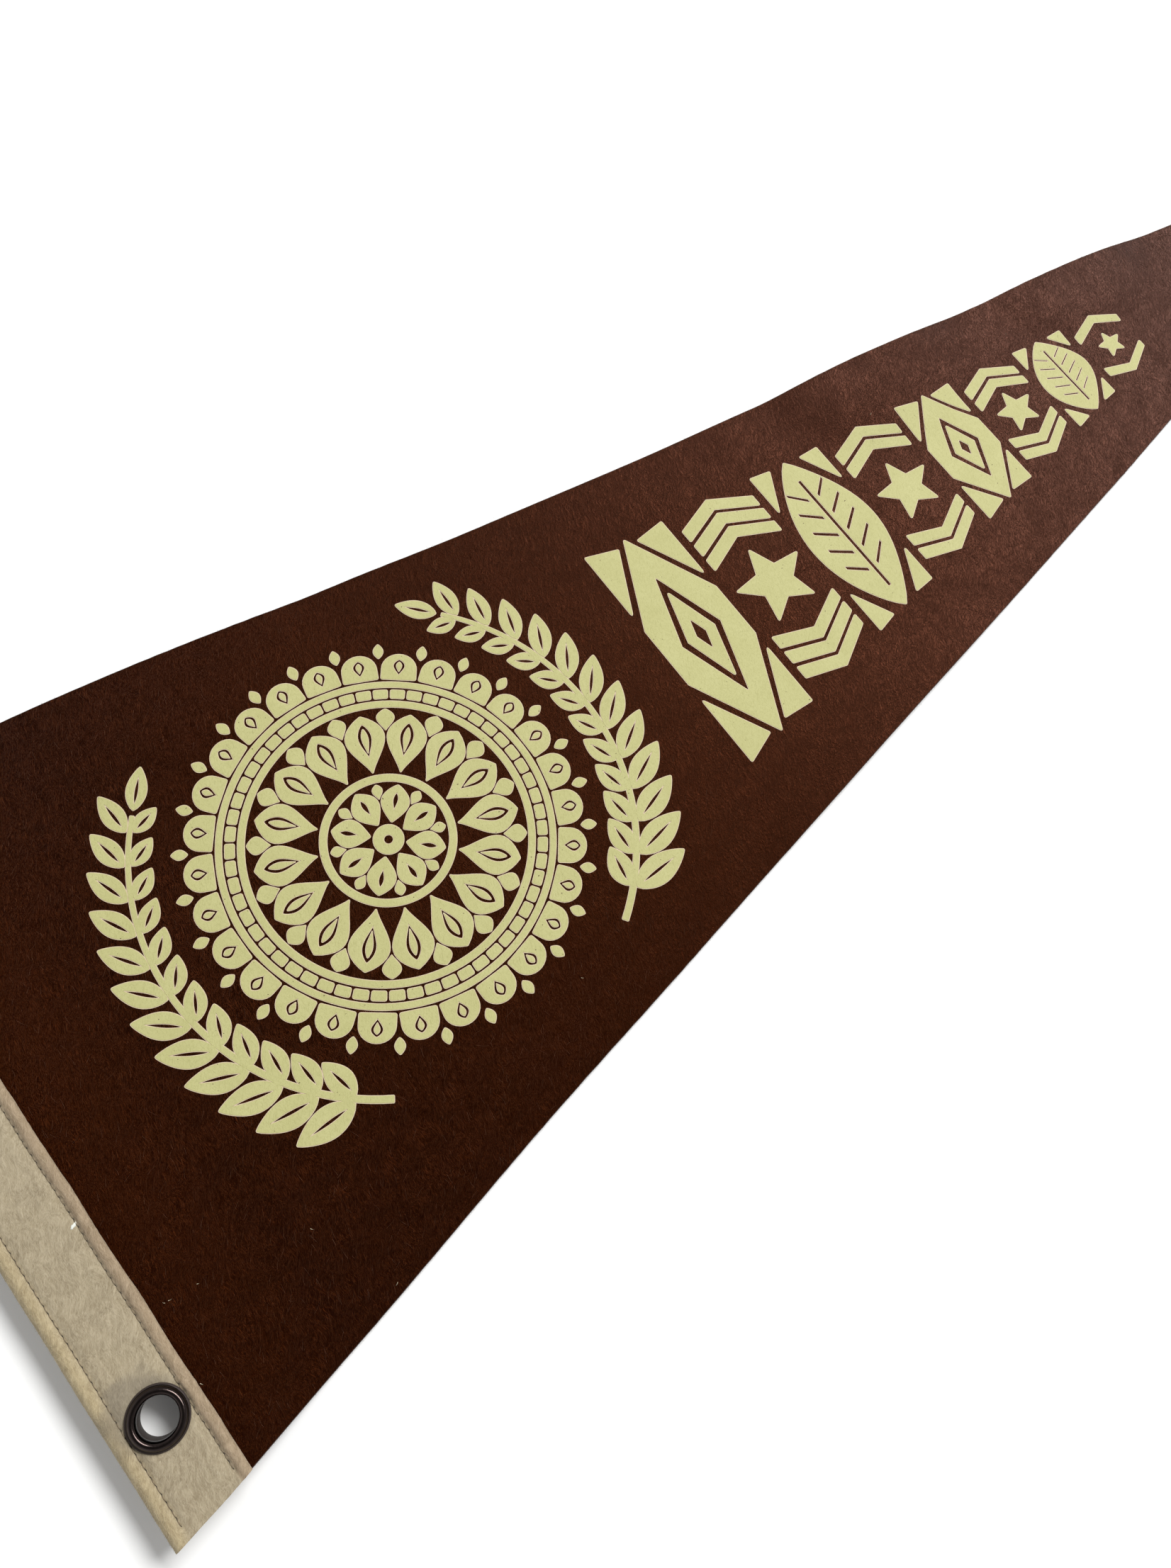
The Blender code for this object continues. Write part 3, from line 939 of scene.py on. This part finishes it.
# The emblem: a round rosette of petals, blocks and scallops between two leafy sprays, 170 mm across in all.
# It is made of many pieces of film, pressed on in one go, with narrow lines of felt between them.
EMBLEM = (147, 4)             # its middle, in mm from the fold and the middle line
FELT_LINE = 0.9               # width in mm of the lines of felt between pieces of film


def rosette():
    """Rings of petals, leaves, blocks and scallops round a pierced disc, from the middle outwards."""
    def around(count, make, offset=0.0):
        for k in range(count):
            turn = 2 * math.pi * (k + offset) / count
            yield [rounded(spun(outline, turn, EMBLEM)) for outline in make]

    def hoop(outer, inner):
        return [spun(circle(outer, 120), 0, EMBLEM), spun(circle(inner, 120), 0, EMBLEM)]

    def share_of(radius, count):
        return 2 * math.pi * radius / count - FELT_LINE

    def petal(low, high, count, widest):
        return shifted(leaf(high - low, share_of(low + (high - low) * widest, count), fullest=widest), low)

    shapes = [[rounded(spun(circle(4.6, 32), 0, EMBLEM), 0.1), spun(circle(1.5, 24), 0, EMBLEM)]]
    shapes += around(8, [petal(5.4, 17.4, 8, 0.55), shifted(leaf(6.0, 1.7, fullest=0.6), 9.0)])
    shapes += around(8, [shifted(leaf(4.6, 3.0, fullest=0.6), 13.0)], 0.5)
    shapes.append(hoop(20.6, 18.4))
    shapes += around(16, [petal(21.4, 40.4, 16, 0.62), shifted(leaf(11.5, 4.4, fullest=0.6), 26.4)])
    shapes += around(16, [shifted(leaf(8.0, 1.9, fullest=0.6), 28.2)])
    shapes += around(16, [shifted(leaf(7.0, 5.4, fullest=0.6), 35.0)], 0.5)
    shapes.append(hoop(44.6, 42.6))
    shapes += around(56, [band(45.5, 48.3, math.pi / 56 - 0.5 * FELT_LINE / 47, 3)])
    shapes.append(hoop(51.0, 49.2))
    tab = share_of(52.5, 28)
    shapes += around(28, [shifted(lobe(tab, 3.6, 8.6), 51.8), shifted(leaf(5.6, 3.8, fullest=0.6), 53.2)])
    shapes += around(28, [shifted(leaf(3.2, 1.6, fullest=0.6), 54.6)])
    shapes += around(28, [shifted(leaf(4.8, 3.0, fullest=0.5), 59.0)], 0.5)
    return shapes


def spray(side):
    """A curved stem with pairs of leaves, beside the rosette."""
    stem_at = 76
    first, last, count = 142, 48, 12

    def on_stem(angle):
        turn = math.radians(angle) * side
        return Vector((EMBLEM[0] + stem_at * math.sin(turn), EMBLEM[1] + stem_at * math.cos(turn)))

    def leaves(angle, lean, length, width):
        turn = math.radians(90 - angle + lean) * side
        blade = shifted(leaf(length, width), 1.7)
        rib = shifted(leaf(length * 0.66, 1.3), 1.7 + length * 0.13)
        return [rounded(spun(outline, turn, on_stem(angle)), 0.4) for outline in (blade, rib)]

    stem = []
    for step in (1, -1):
        for k in range(41)[::step]:
            angle = first + 4 + (last - first - 4) * k / 40
            point = on_stem(angle)
            out = (point - Vector(EMBLEM)).normalized()
            stem.append(point + out * step * (1.0 - 0.35 * k / 40))
    shapes = [[rounded(stem, 0.3)]]
    for k in range(count):
        angle = first + (last - first) * (k + 0.4) / count
        size = 1.0 - 0.026 * k
        for lean, length, width in ((-40, 19.5, 9.0), (38, 13.5, 7.4)):
            shapes.append(leaves(angle, lean, length * size, width * size))
    shapes.append(leaves(last, 0, 13.5, 6.0))
    return shapes


film_piece("film_rosette", rosette())
for label, side in (("hoist", -1), ("fly", 1)):
    film_piece("film_spray_" + label, spray(side))


# The row of ornaments: eight upright figures of the same film, which shrink towards the tip as the pennant
# does. Lozenges and veined leaves take turns, with a star between chevrons after each.
ROW_FROM = 254                # in mm from the fold, as all of the row's sizes are in mm
ROW_GAP = 3.4
FIGURE_WIDTHS = (30, 29, 28, 26.5, 24.5, 23.5, 22, 21)
CHEVRON_GAP = 1.7
CHEVRON_CLEAR = 1.2           # the least gap in mm between the star's tip and a chevron's point


def row_half(x):
    """Half height of the row in mm at x."""
    return 44 - 0.14 * (x - ROW_FROM)


def mirrored(outline):
    return [(x, -y) for x, y in outline]


def darts(corner):
    """A dart in each corner of a figure's place."""
    return [[[(x * a, y * b) for x, y in corner]] for a in (-1, 1) for b in (-1, 1)]


def lozenge(width, half):
    """A heavy lozenge with clipped sides, a lozenge in its opening, a slit in that, and corner darts."""
    frame = [(0, 1), (-1, 0.26), (-1, -0.26), (0, -1), (1, -0.26), (1, 0.26)]
    opening = [(0, 0.60), (-0.56, 0), (0, -0.60), (0.56, 0)]
    inner = [(0, 0.44), (-0.38, 0), (0, -0.44), (0.38, 0)]
    slit = [(0, 0.16), (-0.14, 0), (0, -0.16), (0.14, 0)]
    return [[frame, opening], [inner, slit]] + darts([(-1, 1), (-1, 0.40), (-0.24, 0.94)])


def veined_leaf(width, half):
    """A broad leaf with its midrib and veins left open, and a dart in each corner."""
    blade = [(x, 2 * y - 1) for x, y in leaf(1.0, 2.0, 24, 0.5)]
    openings = [[(-0.05, -0.74), (0.05, -0.74), (0.05, 0.74), (-0.05, 0.74)]]
    for up in (-0.50, -0.26, -0.02, 0.22, 0.46):
        reach = 0.74 * math.sqrt(1 - (up + 0.10) ** 2) - 0.06
        for side in (-1, 1):
            vein = [(0.14, up), (reach, up + 0.17), (reach, up + 0.22), (0.14, up + 0.055)]
            openings.append([(x * side, y) for x, y in vein])
    return [[blade] + openings] + darts([(-1, 1), (-1, 0.52), (-0.44, 0.98)])


def star_and_chevrons(width, half):
    """A five-pointed star with chevrons stacked above it and below, as many as there is room for."""
    reach = min(width / 2, 0.42 * half)
    star = []
    for k in range(10):
        radius = reach * (1.0 if k % 2 == 0 else 0.46)
        turn = math.pi * k / 5
        star.append((-radius * math.sin(turn) / (width / 2), radius * math.cos(turn) / half))
    shapes = [[star]]
    thick, rise = 0.155 * width, 0.22 * width
    peak = half
    while peak - thick > reach + CHEVRON_CLEAR:
        low, high = (peak - rise - thick) / half, (peak - rise) / half
        chevron = [(-1, low), (0, (peak - thick) / half), (1, low), (1, high), (0, peak / half), (-1, high)]
        shapes += [[chevron], [mirrored(chevron)]]
        peak -= thick + CHEVRON_GAP
    return shapes


FIGURES = (lozenge, star_and_chevrons, veined_leaf, star_and_chevrons)
from_hoist = ROW_FROM
for k, width in enumerate(FIGURE_WIDTHS):
    middle = from_hoist + width / 2

    def placed(outline):
        """A figure's outline, drawn from -1 to 1, at its place in the row, shrinking towards the tip."""
        along = [middle + x * width / 2 for x, _ in outline]
        return rounded([(x, y * row_half(x)) for x, (_, y) in zip(along, outline)], 0.5)

    figure = FIGURES[k % len(FIGURES)](width, row_half(middle))
    film_piece(f"film_figure_{k + 1}", [[placed(outline) for outline in shape] for shape in figure])
    from_hoist += width + ROW_GAP


# A flake of dried white glue, two millimetres long, stuck to the heading beside its inner row of stitches.
FLAKE_AT = (20.0, -33.9)
FLAKE = (
    (1.15, 0.10), (0.80, 0.38), (0.30, 0.42), (-0.20, 0.62), (-0.62, 0.40),
    (-1.10, 0.22), (-0.90, -0.25), (-0.35, -0.30), (0.20, -0.52), (0.85, -0.28),
)


def flake_ring(scale, height):
    ring = []
    for point in spun([(a * scale, b * scale) for a, b in FLAKE], math.radians(28), FLAKE_AT):
        x, y = point.x * MM, point.y * MM
        ring.append((place_x(x), y, heading_rise(x, y) + heading_top(x, y) + height * MM))
    return ring


def dried_white_glue():
    """Dried craft glue: milky white, with a smooth skin that shines a little."""
    mat = new_material("dried_white_glue")
    shader(mat, {"Base Color": linear("#d9dbd2"), "Roughness": 0.35})
    return mat


flake = loft("glue_flake", [flake_ring(1.0, -0.08), flake_ring(0.9, 0.10), flake_ring(0.5, 0.20)], 80)
flake.data.materials.append(dried_white_glue())
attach(flake, "root")


# Loose wool: fine fibres stand out along the cut edges and lie over the faces, as they do on pressed felt,
# with a few specks of white lint. They are drawn 0.05 to 0.07 mm thick, about twice the real ones, so that
# they show.
FIBRE = 0.045 * MM
FIBRE_STEPS = 3
FIBRE_FREE = LIP_RADIUS + 0.5 * MM
CLOTH_FIBRES = 4200           # as many again stand out along its cut edges
HEADING_FIBRES = 1500
FOLD_FIBRES = 2600
# Specks of white lint on the brown felt, in mm from the fold and the middle line
LINT = (
    (28.4, -64.6), (27.5, -64.6), (36.0, -65.8), (24.2, -86.5), (66.7, -72.9),
    (372.1, 29.2), (77.3, -98.9), (114.5, 37.5), (168.1, -64.5), (440.0, 26.3),
)


def fibre(root, direction, length, bend, radius=FIBRE):
    """A tapered three-sided strand that curves as it goes."""
    side = direction.cross(Vector((0, 0, 1)))
    side = side.normalized() if side.length > 1e-6 else Vector((1, 0, 0))
    up = side.cross(direction).normalized()
    verts, faces = [], []
    for k in range(FIBRE_STEPS + 1):
        t = k / FIBRE_STEPS
        centre = root + direction * length * t + side * bend * length * t * t
        thick = radius * (1.0 - 0.75 * t)
        for turn in (90, 210, 330):
            a = math.radians(turn)
            verts.append(centre + thick * (math.cos(a) * side + math.sin(a) * up))
    for k in range(FIBRE_STEPS):
        for j in range(3):
            a, b = k * 3 + j, k * 3 + (j + 1) % 3
            faces.append((a, b, b + 3, a + 3))
    faces.append((2, 1, 0))
    faces.append((FIBRE_STEPS * 3, FIBRE_STEPS * 3 + 1, FIBRE_STEPS * 3 + 2))
    return verts, faces


def pointing(angle, rise=0.0):
    """A direction in the cloth's plane, in degrees from +X, lifted by rise."""
    a = math.radians(angle)
    return Vector((math.cos(a), math.sin(a), rise)).normalized()


def cloth_fibres(draw):
    """Fibres that lie on the pennant's face, then the fuzz of its two cut edges."""
    shapes = []
    for _ in range(CLOTH_FIBRES):
        x = HEADING + (LENGTH - HEADING) * (1 - math.sqrt(draw.random()))
        y = draw.uniform(-1, 1) * (half_width(x, False) - MM)
        root = Vector((place_x(x), y, cloth_rise(x, y) + CLOTH_THICK + 0.01 * MM))
        way = pointing(draw.gauss(60, 24) + 180 * draw.randint(0, 1), draw.uniform(0.0, 0.03))
        shapes.append(fibre(root, way, draw.uniform(1.4, 3.4) * MM, draw.uniform(-0.3, 0.3), FIBRE * 0.8))
    for _ in range(CLOTH_FIBRES):
        x = HEADING + (LENGTH - HEADING) * draw.random()
        upper = draw.random() < 0.5
        side = 1 if upper else -1
        y = side * (half_width(x, upper) - 0.15 * MM)
        root = Vector((place_x(x), y, cloth_rise(x, y) + CLOTH_THICK * draw.uniform(0.25, 1.0)))
        way = pointing(side * 90 + draw.gauss(0, 50), draw.uniform(-0.15, 0.3))
        shapes.append(fibre(root, way, draw.uniform(0.25, 0.6) * MM, draw.uniform(-0.6, 0.6), FIBRE * 0.6))
    return shapes


def heading_fibres(draw):
    """Fibres that lie on the heading's face, lint on the brown felt beside it, and the fuzz of the fold."""
    shapes = []
    for _ in range(HEADING_FIBRES):
        x = draw.uniform(1.5, 23.4) * MM
        y = draw.uniform(-1, 1) * (half_width(x, False) - MM)
        if min(math.hypot(x - EYELET_IN, y - side * EYELET_UP) for _, side in SIDES) < FIBRE_FREE:
            continue
        root = Vector((place_x(x), y, heading_rise(x, y) + heading_top(x, y)))
        way = pointing(draw.gauss(60, 26) + 180 * draw.randint(0, 1), draw.uniform(0.0, 0.04))
        shapes.append(fibre(root, way, draw.uniform(0.8, 2.0) * MM, draw.uniform(-0.4, 0.4), FIBRE * 0.6))
    for x, y in LINT:
        root = Vector((place_x(x * MM), y * MM, cloth_rise(x * MM, y * MM) + CLOTH_THICK + 0.05 * MM))
        way = pointing(draw.uniform(0, 360), 0.1)
        shapes.append(fibre(root, way, draw.uniform(0.4, 0.9) * MM, draw.uniform(-0.8, 0.8), FIBRE * 2.6))
    roll = STACK / 2
    for _ in range(FOLD_FIBRES):
        y = draw.uniform(-1, 1) * (HOIST / 2 - MM)
        turn = math.radians(draw.uniform(70, 230))
        out = Vector((math.cos(turn), 0, math.sin(turn)))
        root = Vector((place_x(roll), y, heading_rise(0.0, y) + roll)) + out * (roll - 0.05 * MM)
        way = (out + Vector((0, draw.uniform(-1.2, 1.2), 0))).normalized()
        shapes.append(fibre(root, way, draw.uniform(0.2, 0.5) * MM, draw.uniform(-0.6, 0.6), FIBRE * 0.6))
    return shapes


def wool_fibre(name, dark, pale):
    """Single wool fibres, pulled loose: a touch paler than their cloth, since light passes through them."""
    mat = new_material(name)
    where = add(mat, "TexCoord").outputs["Object"]
    vary = add(mat, "TexNoise", {"Vector": where, "Scale": 400.0, "Detail": 1.0}).outputs[0]
    colour = add(mat, "Mix", {0: vary, 6: linear(dark), 7: linear(pale)}, data_type="RGBA")
    shader(mat, {"Base Color": colour.outputs[2], "Roughness": 0.8, "Specular IOR Level": 0.2})
    return mat


draw = random.Random(11)
for name, shapes, colours, slot in (
    ("wool_fibres_brown", cloth_fibres(draw), ("#2c160c", "#6e4a36"), "brown_felt"),
    ("wool_fibres_cream", heading_fibres(draw), ("#a4977d", "#c6bba1"), "cream_felt"),
):
    fibres = join_shapes(name, shapes)
    fibres.data.materials.append(wool_fibre(name, *colours))
    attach(fibres, "root")


# The surface that the pennant lies on: a plain board of white laminate, far larger than the view, so that
# its far edge is the horizon.
def white_board():
    """White laminate, pressed to a matt face with the faintest texture."""
    mat = new_material("white_board")
    where = add(mat, "TexCoord").outputs["Object"]
    grain = add(mat, "TexNoise", {"Vector": where, "Scale": 60.0, "Detail": 3.0}).outputs[0]
    colour = add(mat, "Mix", {0: grain, 6: linear("#f4f4f3"), 7: linear("#f7f7f6")}, data_type="RGBA")
    shader(mat, {"Base Color": colour.outputs[2], "Roughness": 0.8, "Specular IOR Level": 0.2})
    return mat


BOARD = 60.0
bpy.ops.mesh.primitive_plane_add(size=BOARD, location=(0, 0, 0))
board = bpy.context.object
board.name = "floor"
board.data.materials.append(white_board())


# The light: one wide soft panel beyond the tip, a little to the upper edge's side, and a pale surround that
# is brightest behind the hoist and darkest overhead, as in a white room with a dark ceiling.
LIGHT_TURN = math.radians(12)
LIGHT_HEIGHT = math.radians(47.7)
LIGHT_AWAY = 4.0
LIGHT_AIM = Vector((-0.05, 0, 0))
LIGHT_WIDTH = 3.2
LIGHT_TALL = 1.3
LIGHT_POWER = 218
SURROUND_BEHIND = 1.0         # near the horizon, behind the hoist
SURROUND_AHEAD = 0.32         # the same, beyond the tip
SURROUND_OVERHEAD = 0.12

light_from = Vector((
    math.cos(LIGHT_HEIGHT) * math.cos(LIGHT_TURN),
    math.cos(LIGHT_HEIGHT) * math.sin(LIGHT_TURN),
    math.sin(LIGHT_HEIGHT),
))
light_data = bpy.data.lights.new("soft_panel", "AREA")
light_data.shape = "ELLIPSE"
light_data.size = LIGHT_WIDTH
light_data.size_y = LIGHT_TALL
light_data.energy = LIGHT_POWER
light = bpy.data.objects.new("soft_panel", light_data)
light.location = LIGHT_AIM + light_from * LIGHT_AWAY
light.rotation_euler = light_from.to_track_quat("Z", "Y").to_euler()
bpy.context.scene.collection.objects.link(light)

world = bpy.data.worlds.new("pale_surround")
world.use_nodes = True
facing = add(world, "SeparateXYZ", {0: add(world, "TexCoord").outputs["Generated"]})
walls = add(world, "MapRange", {
    "Value": facing.outputs[0], "From Min": -1.0, "From Max": 1.0,
    "To Min": SURROUND_BEHIND - SURROUND_OVERHEAD, "To Max": SURROUND_AHEAD - SURROUND_OVERHEAD})
overhead = add(world, "Math", {0: facing.outputs[2], 1: facing.outputs[2]}, operation="MULTIPLY").outputs[0]
level = add(world, "Math", {0: 1.0, 1: overhead}, operation="SUBTRACT").outputs[0]
brightness = add(world, "Math", {
    0: level, 1: walls.outputs[0], 2: SURROUND_OVERHEAD}, operation="MULTIPLY_ADD")
world.node_tree.links.new(brightness.outputs[0], world.node_tree.nodes["Background"].inputs["Strength"])
world.node_tree.nodes["Background"].inputs["Color"].default_value = (1.0, 1.0, 1.0, 1.0)
bpy.context.scene.world = world
bpy.context.scene.view_settings.view_transform = "Standard"


# The camera stands over the hoist end, leans towards the tip and is rolled, as the photograph was taken.
CAMERA_AT = Vector((-228.0, -71.3, 331.4)) * MM
CAMERA_AIM = Vector((-143.4, -17.6, 0.0)) * MM
CAMERA_ROLL = math.radians(20.4)
camera_data = bpy.data.cameras.new("camera")
camera_data.lens = 25.2
camera_data.sensor_width = 36
camera_data.clip_start = 0.01
camera = bpy.data.objects.new("camera", camera_data)
aim = (CAMERA_AIM - CAMERA_AT).to_track_quat("-Z", "Y")
camera.location = CAMERA_AT
camera.rotation_mode = "QUATERNION"
camera.rotation_quaternion = aim @ Quaternion((0, 0, 1), CAMERA_ROLL)
bpy.context.scene.collection.objects.link(camera)
bpy.context.scene.camera = camera
